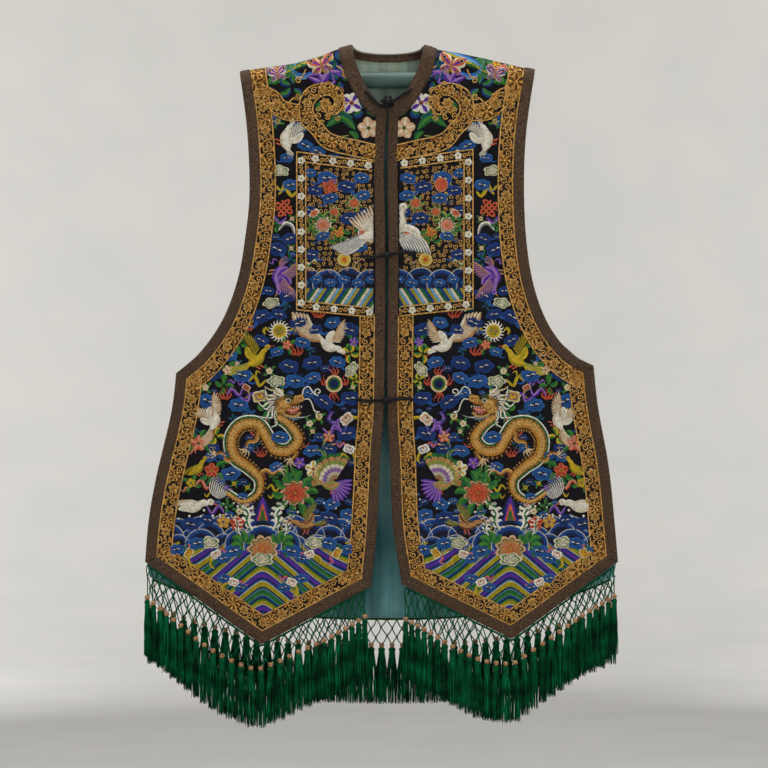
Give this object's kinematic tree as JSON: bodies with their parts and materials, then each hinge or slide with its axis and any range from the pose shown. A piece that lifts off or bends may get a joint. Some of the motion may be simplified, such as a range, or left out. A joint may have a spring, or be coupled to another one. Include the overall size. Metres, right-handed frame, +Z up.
{
  "type": "embroidered waistcoat on a hanging rod",
  "caption": "Sleeveless front-opening court waistcoat of embroidered silk with pointed hems, braid borders, cord frogs and a netted tassel fringe, hanging flat on a plain round rod.",
  "frame": {"origin": "the hold: on the axis of the rod, below the middle of the neck", "axes": "+Z up, -Y the way the front of the waistcoat faces, +X across to the wearer's left side"},
  "size_m": [0.7557, 0.0744, 1.0922],
  "materials": {
    "satin": "near-black navy silk satin, close-covered with coloured floss and couched gold embroidery",
    "lining": "pale teal lining silk, faded in blotches",
    "braid": "brown ribbed braid with dull gold flecks",
    "badge": "couched gold thread ground with floss embroidery",
    "cord": "black silk cord",
    "fringe": "emerald green silk cord and floss, with copper beads",
    "rod": "plain grey-green satin paint"
  },
  "bodies": {
    "root": {"front_left": "satin", "front_right": "satin", "back": "satin", "back_lining": "lining", "braid_left": "braid", "braid_right": "braid", "braid_back": "braid", "collar_left": "braid", "collar_right": "braid", "collar_back": "braid", "collar_facing": "braid", "badge_left": "badge", "badge_right": "badge", "badge_back": "badge", "frog_neck": "cord", "frog_chest": "cord", "frog_waist": "cord", "fringe_left": "fringe", "fringe_right": "fringe", "fringe_back": "fringe", "rod": "rod"}
  },
  "joints": []
}
